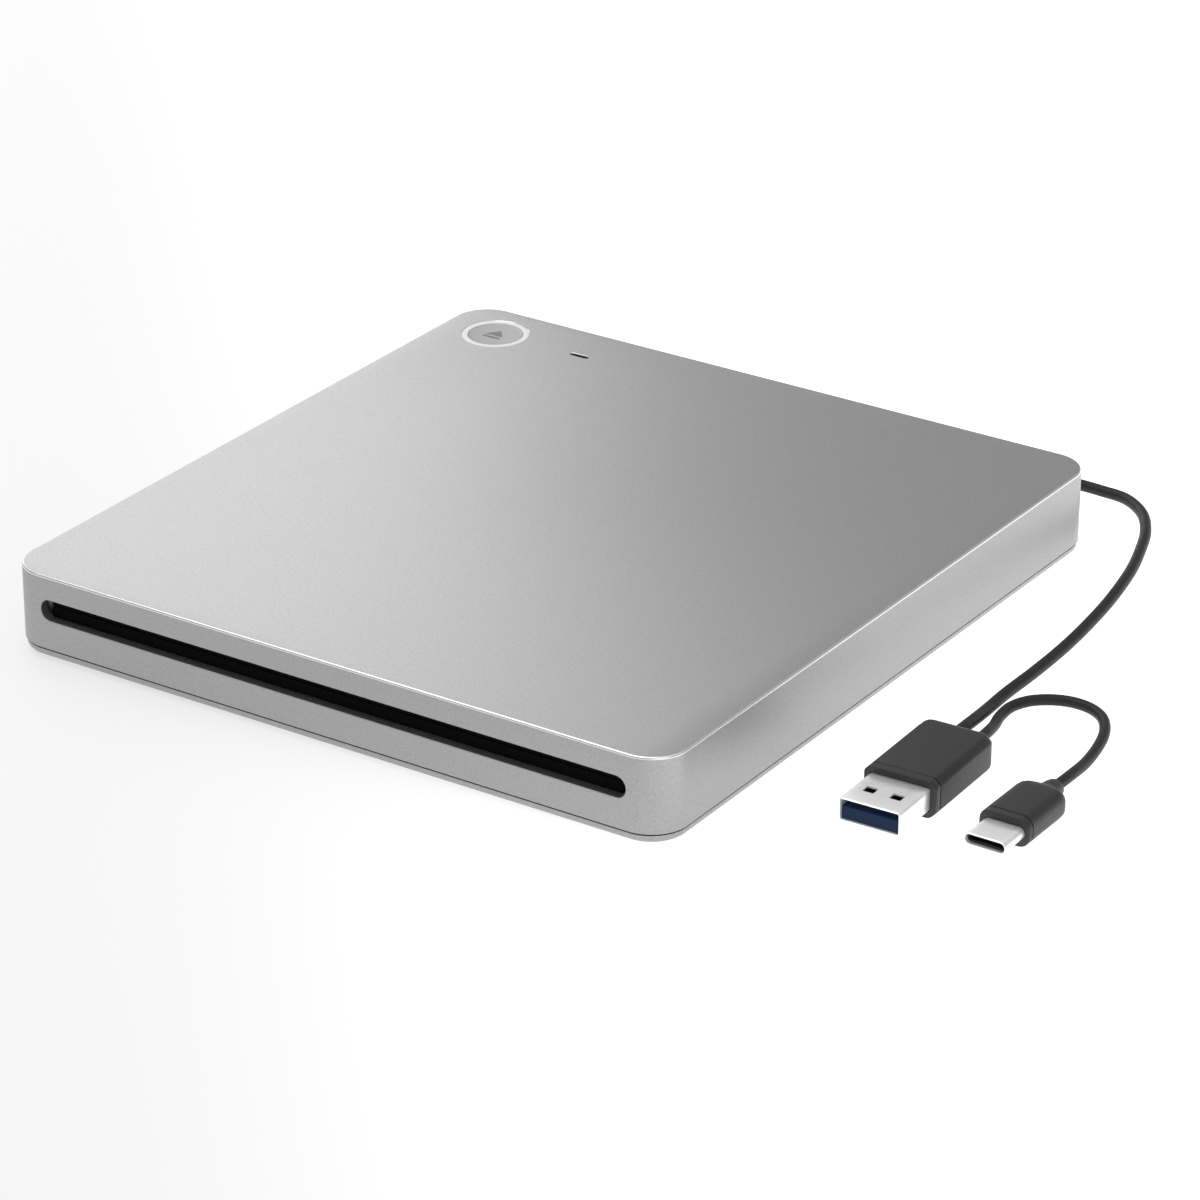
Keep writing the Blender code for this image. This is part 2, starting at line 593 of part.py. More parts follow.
def toothed(name, centre, core, crest, teeth, width, low, high, finish):
    """A gear whose slender teeth are a radial outline round its core."""
    outline = []
    for tooth in range(teeth):
        middle = 2 * math.pi * tooth / teeth + math.pi / teeth
        for radius, side in ((core, -1), (crest, -0.8), (crest, 0.8), (core, 1)):
            angle = middle + side * width / 2 / radius
            outline.append((centre[0] + radius * math.cos(angle), centre[1] + radius * math.sin(angle)))
    return plate(name, [outline], low, high, finish)


def make_loading_gears():
    wheel = toothed("compound_gear", GEAR, 6.3, 7.15, WHEEL_TEETH, 0.8, 6.4, 8.8, "white_plastic")
    pinion = toothed("gear_pinion", GEAR, 2.3, 3.4, 10, 0.5, 4.1, 6.5, None)
    join(wheel, pinion)
    cut(wheel, rod("cut_gear_bore", (*GEAR, 3), (*GEAR, 10), 0.9, None, segments=16))
    threaded("worm", (34.0, WORM_Y, WORM_Z), 12.6, 1.15, 1.75, 2.2, 2, 12, "brass")
    motor = rod("loading_motor", (49.4, WORM_Y, WORM_Z), (62.0, WORM_Y, WORM_Z), 3.4, "steel")
    join(motor, rod("motor_neck", (48.2, WORM_Y, WORM_Z), (49.5, WORM_Y, WORM_Z), 1.6, None),
         rod("motor_shaft", (46.9, WORM_Y, WORM_Z), (48.3, WORM_Y, WORM_Z), 0.6, None, segments=16))


def make_cam_slider():
    """A rack-driven slider: its upright wall lifts the deck's cam pin along an inclined slot."""
    rack_x = GEAR[0] - PINION_RADIUS
    base = box("cam_slider", (20.2, 21.0, 4.1), (rack_x - 0.6, 52.8, 5.5), "white_plastic")
    pitch = 2 * math.pi * PINION_RADIUS / 10
    teeth = []
    for i in range(-1, 9):
        y = GEAR[1] + pitch * i
        teeth.append(box("rack_tooth_%d" % i, (rack_x - 0.8, y - 0.28, 4.1), (rack_x + 0.4, y + 0.28, 5.5),
                         None))
    wall = box("cam_wall", (18.0, -4.0, 4.1), (20.4, 40.0, 9.7), None)
    join(base, wall, *teeth)
    rise = math.atan2(2.9, CAM_TRAVEL)
    reach = math.hypot(2.9, CAM_TRAVEL)
    slot = sideways(plate("cut_cam", [obround((0, 0), reach + 3.4, 2.1)], 17, 21.5, None))
    slot.location = (0, (6.2 + CAM_TRAVEL / 2) * MM, (5.4 + 2.9 / 2) * MM)
    slot.rotation_euler.x = rise
    cut(base, slot)


def make_arm(name, pivot, tip, finish):
    """A loading arm under the cover: a flat lever with a pivot boss and a roller pin."""
    along = Vector(tip) - Vector(pivot)
    lever = plate(name, [obround((along.length / 2, 0), along.length + ARM_WIDTH, ARM_WIDTH)], *ARM_Z, finish)
    guide = [rod(name + "_boss", (0, 0, 12.6), (0, 0, 14.0), 3.0, None),
             rod(name + "_pin", (along.length, 0, ROLLER_Z[0] - 0.1), (along.length, 0, 14.0), 0.8, None,
                 segments=16)]
    for piece in [lever] + guide:
        piece.location = (pivot[0] * MM, pivot[1] * MM, 0)
        piece.rotation_euler.z = math.atan2(along.y, along.x)
    join(lever, *guide)


def make_arms():
    make_arm("eject_arm", EJECT_PIVOT, EJECT_TIP, "black_plastic")
    make_arm("loading_arm", LOADING_PIVOT, LOADING_TIP, "black_plastic")
    for name, tip in (("eject_roller", EJECT_TIP), ("loading_roller", LOADING_TIP)):
        plate(name, [circle(tip, 2.0, 24), circle(tip, 1.1, 16)], *ROLLER_Z, "rubber")


# ---------------------------------------------------------------- leads and plugs

def make_usb_a():
    plug = empty("usb_a", (*A_FRONT, 0.0), (0, 0, A_YAW))
    width, length, height = A_SIZE
    housing = upright(plate("usb_a_housing", [rectangle(-width / 2, width / 2, 0.0, height, 1.3, 3)],
                            -length, 0.0, "plug_black", plug))
    middle = height / 2
    half_x, half_z = A_SHELL[0] / 2, A_SHELL[1] / 2
    front, rear = A_SHELL_Y

    def block(name, grow, y_low, y_high, finish):
        """A box round the plug's middle line, larger than the shell by grow on every side."""
        x, z = half_x + grow, half_z + grow
        return box(name, (-x, y_low, middle - z), (x, y_high, middle + z), finish, plug)

    cut(housing, block("cut_a_pocket", GAP, -1, rear + GAP, None))
    shell = block("usb_a_shell", 0.0, front, rear, "connector_steel")
    cut(shell, block("cut_a_inside", -A_SHEET, front - 1, rear + 1, None))
    for side in (-1, 1):
        low, high = sorted((side * 1.4, side * 3.9))
        cut(shell, box("cut_a_window_%d" % side, (low, -6.8, middle), (high, -4.5, middle + 3), None, plug))
    box("usb_a_tongue", (-5.35, front + 0.4, middle - 1.6), (5.35, rear - GAP, middle + 0.5), "plug_blue",
        plug)


def make_usb_c():
    plug = empty("usb_c", (*C_FRONT, 0.0))
    width, length, height = C_SIZE
    middle = height / 2
    front, rear = C_SHELL_Y

    def bar(name, grow, y_low, y_high, finish):
        """An obround bar along Y, larger than the shell by grow on every side."""
        outline = obround((0, middle), C_SHELL[0] + 2 * grow, C_SHELL[1] + 2 * grow)
        return upright(plate(name, [outline], -y_high, -y_low, finish, plug))

    housing = upright(plate("usb_c_housing", [rectangle(-width / 2, width / 2, 0.0, height, 2.0, 4)],
                            -length, 0.0, "plug_black", plug))
    join(housing, rod("usb_c_neck", (0, length - 0.5, middle), (0, length + 4.0, middle), 2.3, None, plug,
                      end_radius=1.7))
    cut(housing, bar("cut_c_pocket", GAP, -1.0, rear + GAP, None))
    cut(bar("usb_c_shell", 0.0, front, rear, "connector_steel"),
        bar("cut_c_inside", -C_SHEET, front - 1, rear + 1, None))
    bar("usb_c_insert", -2 * C_SHEET, -2.4, rear - GAP, "black_plastic")


def make_leads():
    cable("main_cable", MAIN_ROUTE, CABLE_RADIUS, "cable_black")
    cable("branch_cable", BRANCH_ROUTE, BRANCH_RADIUS, "cable_black")


clear_scene()
PARTS = new_collection("external_optical_drive")
CUTTERS = new_collection("cutters")
make_top_shell()
make_base()
make_slot_lips()
make_key_and_light()
make_electronics()
make_chassis()
make_deck()
make_loading_gears()
make_cam_slider()
make_arms()
make_usb_a()
make_usb_c()
make_leads()
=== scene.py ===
import json
import math
import random

import bmesh
import bpy
from mathutils import Matrix, Vector


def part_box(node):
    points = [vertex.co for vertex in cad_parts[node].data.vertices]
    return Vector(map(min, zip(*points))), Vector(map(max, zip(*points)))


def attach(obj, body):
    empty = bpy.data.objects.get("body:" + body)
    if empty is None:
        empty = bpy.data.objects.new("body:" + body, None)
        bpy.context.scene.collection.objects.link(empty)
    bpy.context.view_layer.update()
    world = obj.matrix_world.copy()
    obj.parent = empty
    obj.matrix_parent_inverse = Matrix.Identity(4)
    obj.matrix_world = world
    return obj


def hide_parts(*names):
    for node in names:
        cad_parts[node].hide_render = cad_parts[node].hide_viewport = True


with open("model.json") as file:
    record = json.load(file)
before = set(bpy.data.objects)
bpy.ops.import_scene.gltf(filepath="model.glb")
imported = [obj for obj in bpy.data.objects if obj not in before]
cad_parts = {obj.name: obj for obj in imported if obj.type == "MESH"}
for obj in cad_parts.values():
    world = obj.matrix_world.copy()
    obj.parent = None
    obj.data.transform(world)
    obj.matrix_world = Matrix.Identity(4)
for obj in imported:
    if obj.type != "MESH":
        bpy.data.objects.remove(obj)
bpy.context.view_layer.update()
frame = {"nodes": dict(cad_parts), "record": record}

# Sizes are in millimetres unless a name says otherwise; MM turns them into metres.
MM = 0.001
random.seed(7)


def node_box(name):
    """The lowest and highest corners of a CAD node, in millimetres."""
    low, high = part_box(name)
    return [c / MM for c in low], [c / MM for c in high]


SHELL_LOW, SHELL_HIGH = node_box("top_shell")
BASE_LOW, BASE_HIGH = node_box("base_plate")
HALF_X, HALF_Y = SHELL_HIGH[0], SHELL_HIGH[1]
TOP = SHELL_HIGH[2]
RIM = SHELL_LOW[2]
CORNER = 7.5
WALL = 2.0
CEILING = TOP - 1.5
EDGE = 0.45                   # the bright turned edge round the top

# ---------------------------------------------------------------- camera, floor and light

CAMERA_AZIMUTH, CAMERA_ELEVATION = 33.71, 25.63
CAMERA_DISTANCE = 950.5
CAMERA_TARGET = Vector((16.2, -11.4, 8.0))
CAMERA_LENS = 153.4

SKY = [(0.0, 1.0), (0.30, 0.36), (0.6, 0.48), (1.0, 1.0)]   # (height, brightness)
FLOOR_ALBEDO = 0.30
FLOOR_SPAN = (-0.10, 0.14)                                  # metres towards the back right
FLOOR_GLOW = (0.64, 1.30)
PANEL_POWER, OVERHEAD_POWER = 0.93, 0.8


def make_camera():
    a, e = math.radians(CAMERA_AZIMUTH), math.radians(CAMERA_ELEVATION)
    back = Vector((math.sin(a) * math.cos(e), -math.cos(a) * math.cos(e), math.sin(e)))
    right = Vector((math.cos(a), math.sin(a), 0.0))
    up = back.cross(right)
    data = bpy.data.cameras.new("camera")
    data.lens = CAMERA_LENS
    data.sensor_width = 36.0
    data.clip_start = 0.01
    data.clip_end = 20.0
    camera = bpy.data.objects.new("camera", data)
    bpy.context.scene.collection.objects.link(camera)
    turn = Matrix((right, up, back)).transposed().to_4x4()
    camera.matrix_world = Matrix.Translation((CAMERA_TARGET + back * CAMERA_DISTANCE) * MM) @ turn
    bpy.context.scene.camera = camera


def area_light(name, place, aim, size, power, shade=(1.0, 1.0, 1.0)):
    data = bpy.data.lights.new(name, 'AREA')
    data.shape = 'RECTANGLE'
    data.size, data.size_y = size[0] * MM, size[1] * MM
    data.energy = power
    data.color = shade
    lamp = bpy.data.objects.new(name, data)
    bpy.context.scene.collection.objects.link(lamp)
    lamp.location = Vector(place) * MM
    lamp.rotation_euler = (Vector(aim) - Vector(place)).to_track_quat('-Z', 'Y').to_euler()
    lamp.visible_camera = False


def make_world():
    """A pale sky: bright at the horizon, dimmer a quarter of the way up, bright again overhead."""
    world = bpy.data.worlds.new("studio")
    bpy.context.scene.world = world
    world.use_nodes = True
    tree = world.node_tree
    coords = tree.nodes.new("ShaderNodeTexCoord")
    split = tree.nodes.new("ShaderNodeSeparateXYZ")
    ramp = tree.nodes.new("ShaderNodeValToRGB")
    stops = ramp.color_ramp.elements
    while len(stops) < len(SKY):
        stops.new(0.5)
    for stop, (height, shade) in zip(stops, SKY):
        stop.position = height
        stop.color = (shade, shade, shade * 1.005, 1.0)
    tree.links.new(coords.outputs["Generated"], split.inputs[0])
    tree.links.new(split.outputs["Z"], ramp.inputs[0])
    tree.links.new(ramp.outputs[0], tree.nodes["Background"].inputs["Color"])


def make_floor():
    """A pale floor that glows a little more towards the back right, which keeps its shadows faint."""
    bm = bmesh.new()
    bmesh.ops.create_grid(bm, x_segments=8, y_segments=8, size=4.0)
    mesh = bpy.data.meshes.new("floor")
    bm.to_mesh(mesh)
    bm.free()
    floor = bpy.data.objects.new("floor", mesh)
    bpy.context.scene.collection.objects.link(floor)
    floor.location.z = -0.00005
    pale = bpy.data.materials.new("floor_pale")
    pale.use_nodes = True
    tree = pale.node_tree
    shader = tree.nodes["Principled BSDF"]
    shader.inputs["Base Color"].default_value = (FLOOR_ALBEDO, FLOOR_ALBEDO, FLOOR_ALBEDO, 1.0)
    shader.inputs["Roughness"].default_value = 0.9
    shader.inputs["Specular IOR Level"].default_value = 0.0
    shader.inputs["Emission Color"].default_value = (1.0, 1.0, 1.0, 1.0)
    coords = tree.nodes.new("ShaderNodeTexCoord")
    along = tree.nodes.new("ShaderNodeVectorMath")
    along.operation = 'DOT_PRODUCT'
    along.inputs[1].default_value = (0.77, 0.64, 0.0)
    glow = tree.nodes.new("ShaderNodeMapRange")
    glow.interpolation_type = 'SMOOTHSTEP'
    for socket, value in zip(("From Min", "From Max", "To Min", "To Max"), (*FLOOR_SPAN, *FLOOR_GLOW)):
        glow.inputs[socket].default_value = value
    tree.links.new(coords.outputs["Object"], along.inputs[0])
    tree.links.new(along.outputs["Value"], glow.inputs["Value"])
    tree.links.new(glow.outputs["Result"], shader.inputs["Emission Strength"])
    mesh.materials.append(pale)


def make_studio():
    bpy.context.scene.view_settings.view_transform = 'Standard'
    make_world()
    make_floor()
    # the panel low behind on the left is what the top reflects, brightest at its front left corner
    area_light("panel_left", (-500, 345, 290), (-40, -40, 17), (440, 420), PANEL_POWER)
    area_light("panel_right", (500, -345, 290), (40, 40, 17), (440, 420), PANEL_POWER / 2)
    area_light("overhead", (-160, -60, 520), (0, 0, 0), (420, 420), OVERHEAD_POWER)


# ---------------------------------------------------------------- materials

class Surface:
    """A Principled material whose colour, roughness and bump come from noise in the object's own space."""

    def __init__(self, name, colour, roughness, metallic=0.0):
        self.material = bpy.data.materials.new(name)
        self.material.use_nodes = True
        self.tree = self.material.node_tree
        self.shader = self.tree.nodes["Principled BSDF"]
        self.colour, self.roughness = colour, roughness
        self.shader.inputs["Base Color"].default_value = (*colour, 1.0)
        self.shader.inputs["Roughness"].default_value = roughness
        self.shader.inputs["Metallic"].default_value = metallic
        self.place = self.node("ShaderNodeTexCoord").outputs["Object"]
        self.bump = None

    def node(self, kind, **settings):
        made = self.tree.nodes.new(kind)
        for key, value in settings.items():
            setattr(made, key, value)
        return made

    def stretched(self, scale):
        """The object's coordinates times a scale on each axis."""
        mapping = self.node("ShaderNodeMapping")
        self.tree.links.new(self.place, mapping.inputs["Vector"])
        mapping.inputs["Scale"].default_value = scale
        return mapping.outputs["Vector"]

    def noise(self, grain, detail=2.0, stretch=None):
        """Noise whose features are about grain millimetres across."""
        made = self.node("ShaderNodeTexNoise")
        made.inputs["Scale"].default_value = 1.0 / (grain * MM)
        made.inputs["Detail"].default_value = detail
        made.inputs["Roughness"].default_value = 0.6
        self.tree.links.new(self.stretched(stretch) if stretch else self.place, made.inputs["Vector"])
        return made.outputs["Fac"]

    def spread(self, source, low, high):
        made = self.node("ShaderNodeMapRange")
        made.inputs["From Min"].default_value = 0.3
        made.inputs["From Max"].default_value = 0.7
        made.inputs["To Min"].default_value = low
        made.inputs["To Max"].default_value = high
        self.tree.links.new(source, made.inputs["Value"])
        return made.outputs["Result"]

    def mottle(self, grain, amount, detail=3.0):
        """Lightens and darkens the colour by this share."""
        mix = self.node("ShaderNodeMix", data_type='RGBA')
        mix.inputs[6].default_value = (*[c * (1 - amount) for c in self.colour], 1.0)
        mix.inputs[7].default_value = (*[min(1.0, c * (1 + amount)) for c in self.colour], 1.0)
        self.tree.links.new(self.spread(self.noise(grain, detail), 0.0, 1.0), mix.inputs[0])
        self.tree.links.new(mix.outputs[2], self.shader.inputs["Base Color"])
        return self

    def uneven(self, grain, amount, detail=3.0, stretch=None):
        """Roughness that varies by this much each way."""
        source = self.spread(self.noise(grain, detail, stretch), self.roughness - amount,
                             self.roughness + amount)
        self.tree.links.new(source, self.shader.inputs["Roughness"])
        return self

    def relief(self, grain, depth, detail=2.0, stretch=None, strength=0.4):
        """Bump of this depth in millimetres; calls add up."""
        made = self.node("ShaderNodeBump")
        made.inputs["Strength"].default_value = strength
        made.inputs["Distance"].default_value = depth * MM
        self.tree.links.new(self.noise(grain, detail, stretch), made.inputs["Height"])
        if self.bump:
            self.tree.links.new(self.bump, made.inputs["Normal"])
        self.bump = made.outputs["Normal"]
        self.tree.links.new(self.bump, self.shader.inputs["Normal"])
        return self

    def put(self, **values):
        for key, value in values.items():
            self.shader.inputs[key.replace("_", " ")].default_value = value
        return self


def make_materials():
    """One material for each of the record's slots, and a few for details."""
    made = {}

    def keep(name, surface):
        made[name] = surface.material

    keep("aluminium", Surface("blasted_aluminium", (0.40, 0.40, 0.404), 0.42, 0.92)
         .mottle(0.45, 0.10, detail=4.0).uneven(0.4, 0.06).relief(0.2, 0.02, strength=0.6)
         .relief(0.9, 0.012, strength=0.3))
    keep("polished_edge", Surface("polished_edge", (0.80, 0.80, 0.805), 0.22, 1.0)
         .uneven(0.8, 0.03).relief(0.3, 0.002))
    keep("steel", Surface("sheet_steel", (0.52, 0.52, 0.53), 0.36, 1.0)
         .mottle(8.0, 0.06).uneven(1.5, 0.06).relief(0.3, 0.004, stretch=(1.0, 12.0, 12.0)))
    keep("connector_steel", Surface("plated_connector", (0.92, 0.92, 0.93), 0.3, 0.65)
         .mottle(6.0, 0.03).uneven(2.0, 0.03).relief(1.2, 0.0006, stretch=(1.0, 6.0, 6.0)))
    keep("brass", Surface("gold_brass", (0.83, 0.60, 0.22), 0.26, 1.0).mottle(2.0, 0.05).uneven(0.5, 0.05))
    keep("rubber", Surface("black_rubber", (0.022, 0.022, 0.023), 0.72)
         .mottle(4.0, 0.15).uneven(0.8, 0.08).relief(0.12, 0.01))
    keep("felt", Surface("black_felt", (0.003, 0.003, 0.003), 0.95)
         .mottle(0.6, 0.3).relief(0.1, 0.06, detail=4.0, strength=0.8).put(Specular_IOR_Level=0.1))
    keep("light_guide", Surface("frosted_ring", (0.76, 0.76, 0.76), 0.5)
         .mottle(3.0, 0.015).uneven(0.6, 0.04).relief(0.15, 0.004).put(Specular_IOR_Level=0.3))
    keep("key_face", Surface("key_face", (0.36, 0.36, 0.364), 0.44, 0.9)
         .mottle(0.5, 0.04).uneven(0.5, 0.04).relief(0.2, 0.01))
    keep("key_mark", Surface("key_mark", (0.17, 0.17, 0.172), 0.5, 0.3).mottle(1.0, 0.06).uneven(0.3, 0.04))
    keep("smoked_window", Surface("smoked_window", (0.002, 0.002, 0.002), 0.5)
         .mottle(1.0, 0.2).uneven(0.6, 0.04).put(Specular_IOR_Level=0.1))
    keep("circuit_board", Surface("circuit_board", (0.012, 0.075, 0.03), 0.42)
         .mottle(1.4, 0.35, detail=5.0).uneven(1.0, 0.08).relief(0.7, 0.02))
    keep("connector_plastic", Surface("ivory_nylon", (0.72, 0.68, 0.56), 0.5)
         .mottle(3.0, 0.04).uneven(0.6, 0.06).relief(0.2, 0.008))
    keep("black_plastic", Surface("black_moulding", (0.008, 0.008, 0.009), 0.6)
         .mottle(3.0, 0.12).uneven(0.6, 0.06).relief(0.2, 0.01).put(Specular_IOR_Level=0.3))
    keep("white_plastic", Surface("white_acetal", (0.74, 0.74, 0.71), 0.42)
         .mottle(4.0, 0.03).uneven(0.7, 0.05).relief(0.25, 0.006))
    keep("deck_metal", Surface("zinc_plate", (0.42, 0.43, 0.44), 0.42, 1.0)
         .mottle(2.5, 0.14, detail=4.0).uneven(1.2, 0.08).relief(0.3, 0.006))
    keep("magnesium", Surface("die_cast", (0.28, 0.29, 0.31), 0.55, 0.9)
         .mottle(2.0, 0.08).uneven(0.5, 0.06).relief(0.25, 0.02))
    keep("lens", Surface("coated_lens", (0.25, 0.36, 0.6), 0.05)
         .mottle(2.0, 0.1).uneven(1.0, 0.02).put(Transmission_Weight=0.6, Coat_Weight=0.5))
    keep("flex_film", Surface("flex_film", (0.5, 0.24, 0.05), 0.32).mottle(1.0, 0.12).uneven(0.8, 0.06))
    keep("plug_black", Surface("plug_moulding", (0.022, 0.022, 0.024), 0.44)
         .mottle(0.6, 0.12).uneven(0.5, 0.06).relief(0.14, 0.008).relief(1.2, 0.006, strength=0.2)
         .put(Specular_IOR_Level=0.4))
    keep("cable_black", Surface("cable_jacket", (0.014, 0.014, 0.015), 0.5)
         .mottle(0.6, 0.15).uneven(0.5, 0.06).relief(0.2, 0.006).put(Specular_IOR_Level=0.28))
    keep("plug_blue", Surface("blue_insulator", (0.002, 0.015, 0.055), 0.55)
         .mottle(2.0, 0.08).uneven(0.5, 0.05).relief(0.2, 0.004).put(Specular_IOR_Level=0.2))
    keep("dark_gap", Surface("dark_line", (0.01, 0.01, 0.01), 0.8).mottle(1.0, 0.2).uneven(0.6, 0.08))
    return made


# ---------------------------------------------------------------- mesh helpers, in millimetres

def arc(centre, radius, start, end, steps):
    points = []
    for step in range(steps + 1):
        angle = math.radians(start + (end - start) * step / steps)
        points.append((centre[0] + radius * math.cos(angle), centre[1] + radius * math.sin(angle)))
    return points


def circle(centre, radius, steps=64):
    return arc(centre, radius, 0, 360, steps)[:-1]


def rectangle(half_x, half_y, radius, steps=8, centre=(0.0, 0.0)):
    """A rectangle with round corners, counter-clockwise."""
    cx, cy = centre
    x, y = half_x - radius, half_y - radius
    points = []
    for start, sx, sy in ((-90, 1, -1), (0, 1, 1), (90, -1, 1), (180, -1, -1)):
        points += arc((cx + sx * x, cy + sy * y), radius, start, start + 90, steps)
    return points


def level(outline, z):
    return [(x, y, z) for x, y in outline]


def across(outline, y):
    """An outline in XZ, standing at this y."""
    return [(x, y, z) for x, z in outline]


def loft(rings, hollow=False):
    """A closed solid through rings of equal count; hollow joins the last ring to the first, as in a tube."""
    bm = bmesh.new()
    rows = [[bm.verts.new(Vector(p) * MM) for p in ring] for ring in rings]
    pairs = list(zip(rows, rows[1:]))
    if hollow:
        pairs.append((rows[-1], rows[0]))
    else:
        bm.faces.new(rows[0])
        bm.faces.new(rows[-1])
    for low, high in pairs:
        for i in range(len(low)):
            j = (i + 1) % len(low)
            bm.faces.new((low[i], low[j], high[j], high[i]))
    bmesh.ops.recalc_face_normals(bm, faces=bm.faces)
    return bm


def as_object(name, bm, finish=None, smooth=30):
    mesh = bpy.data.meshes.new(name)
    bm.to_mesh(mesh)
    bm.free()
    if smooth:
        mesh.shade_smooth()
        mesh.set_sharp_from_angle(angle=math.radians(smooth))
    thing = bpy.data.objects.new(name, mesh)
    bpy.context.scene.collection.objects.link(thing)
    if finish:
        mesh.materials.append(FINISHES[finish])
    return thing


def boolean(thing, others, operation='DIFFERENCE'):
    """Cut or join with each of the others for good, and drop them."""
    for other in others:
        step = thing.modifiers.new("step", 'BOOLEAN')
        step.operation = operation
        step.object = other
        step.solver = 'EXACT'
    bpy.context.view_layer.update()
    ready = thing.evaluated_get(bpy.context.evaluated_depsgraph_get())
    mesh = bpy.data.meshes.new_from_object(ready)
    thing.modifiers.clear()
    thing.data = mesh
    for other in others:
        bpy.data.objects.remove(other, do_unlink=True)
    return thing


def soften(thing, smooth=30):
    thing.data.shade_smooth()
    thing.data.set_sharp_from_angle(angle=math.radians(smooth))
    return thing


def ready(thing, slot, body="case", replaces=()):
    """Give a finished piece its body and hide the CAD nodes that it stands for; slot is not used."""
    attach(thing, body)
    if replaces:
        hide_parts(*replaces)
    return thing


def rounded_block(name, outline_at, profile, finish):
    """A loft of level outlines: profile is (inset, z) pairs and outline_at gives the outline for an inset."""
    return as_object(name, loft([level(outline_at(inset), z) for inset, z in profile]), finish)


def round_profile(low, high, low_round, high_round, steps=5):
    """(inset, z) pairs up a block whose lower and upper edges are rounded."""
    pairs = []
    for i in range(steps + 1):
        angle = math.pi / 2 * i / steps
        pairs.append((low_round * (1 - math.sin(angle)), low + low_round * (1 - math.cos(angle))))
    for i in range(steps + 1):
        angle = math.pi / 2 * i / steps
        pairs.append((high_round * (1 - math.cos(angle)), high - high_round * (1 - math.sin(angle))))
    return pairs


# ---------------------------------------------------------------- case

def case_outline(inset):
    return rectangle(HALF_X - inset, HALF_Y - inset, CORNER - inset, 20)


SLOT_LOW, SLOT_TOP, SLOT_HALF = 8.45, 12.65, 64.5
KEY = (-60.1, 64.6)
RING_INNER, RING_OUTER = 5.65, 6.9
LED = (-39.5, 64.6)
LED_HALF = (2.2, 0.55)
LED_GAP = 0.02
GROMMET = (38.0, 9.0)
SCREWS = [(sx * 66.8, sy * 70.3) for sx in (-1, 1) for sy in (-1, 1)]


def flared(deep, face, flare, direction):
    """(inset, place) steps of a cutter that widens by flare at the face, and runs past it."""
    return [(0.0, deep), (0.0, face - direction * flare), (-flare, face), (-flare, face + direction * 1.0)]


def obround_xz(inset):
    half_z = (SLOT_TOP - SLOT_LOW) / 2 - inset
    return rectangle(SLOT_HALF - inset, half_z, half_z - 0.001, 12, (0.0, (SLOT_TOP + SLOT_LOW) / 2))


def make_case():
    profile = [(0.15, RIM), (0.0, RIM + 0.15)]
    profile += [pair for pair in round_profile(RIM, TOP, 0.0, EDGE, 6) if pair[1] > RIM + 1]
    shell = rounded_block("case_shell", case_outline, profile, "aluminium")
    shell.data.materials.append(FINISHES["polished_edge"])
    inner = case_outline(WALL)
    cavity = as_object("cavity", loft([level(inner, RIM - 1), level(inner, CEILING)]))
    boolean(shell, [cavity])
    posts = [as_object("post", loft([level(circle(p, 2.6, 32), z) for z in (RIM + 0.3, CEILING + 0.4)]))
             for p in SCREWS]
    boolean(shell, posts, 'UNION')
    bores = [as_object("bore", loft([level(circle(p, 1.1, 24), RIM - 1), level(circle(p, 1.1, 24), 9.5)]))
             for p in SCREWS]
    slot = as_object("slot", loft([across(obround_xz(inset), y)
                                   for inset, y in flared(-HALF_Y + 3, -HALF_Y, 0.14, -1)]))
    ring = as_object("ring", loft([level(circle(KEY, RING_OUTER + 0.04 - inset, 96), z)
                                   for inset, z in flared(CEILING - 1, TOP, 0.08, 1)]))

    def led_outline(inset):
        half_x, half_y = LED_HALF[0] + LED_GAP - inset, LED_HALF[1] + LED_GAP - inset
        return rectangle(half_x, half_y, half_y - 0.01, 10, LED)

    led = as_object("led", loft([level(led_outline(inset), z)
                                 for inset, z in flared(CEILING - 1, TOP, 0.08, 1)]))
    hole = as_object("hole", loft([across(circle(GROMMET, 2.65 - inset, 48), y)
                                   for inset, y in flared(HALF_Y - 3, HALF_Y, 0.2, 1)]))
    boolean(shell, bores + [slot, ring, led, hole])
    # the bright turned edge is the rounding along the top, and the small bevels of the openings
    for polygon in shell.data.polygons:
        z = polygon.center.z / MM
        tilt = polygon.normal.z
        polygon.material_index = 1 if TOP - EDGE < z < TOP - 0.001 and 0.12 < tilt < 0.98 else 0
    ready(soften(shell), "aluminium", replaces=("top_shell",))

    half_x, half_y = BASE_HIGH[0], BASE_HIGH[1]

    def base_outline(inset):
        return rectangle(half_x - inset, half_y - inset, CORNER - 0.3 - inset, 20)

    base_profile = round_profile(BASE_LOW[2], BASE_HIGH[2], 1.2, 0.1, 6)
    base = rounded_block("case_base", base_outline, base_profile, "aluminium")
    pockets = []
    for foot in [n for n in frame["nodes"] if n.startswith("foot_")]:
        low, high = node_box(foot)
        centre = ((low[0] + high[0]) / 2, (low[1] + high[1]) / 2)
        radius = (high[0] - low[0]) / 2
        rings = [level(circle(centre, radius + 0.12), z) for z in (0.0, 1.1)]
        pockets.append(as_object("pocket", loft(rings)))
        make_foot(foot, centre, radius, high[2])
    for p in SCREWS:
        head = ((2.1, 0.0), (2.0, 0.6), (1.8, 0.85), (1.8, 1.45))
        pockets.append(as_object("head", loft([level(circle(p, r, 32), z) for r, z in head])))
        pockets.append(as_object("shank", loft([level(circle(p, 1.1, 24), z) for z in (1.0, 3.0)])))
    boolean(base, pockets)
    ready(soften(base), "aluminium", replaces=("base_plate",))


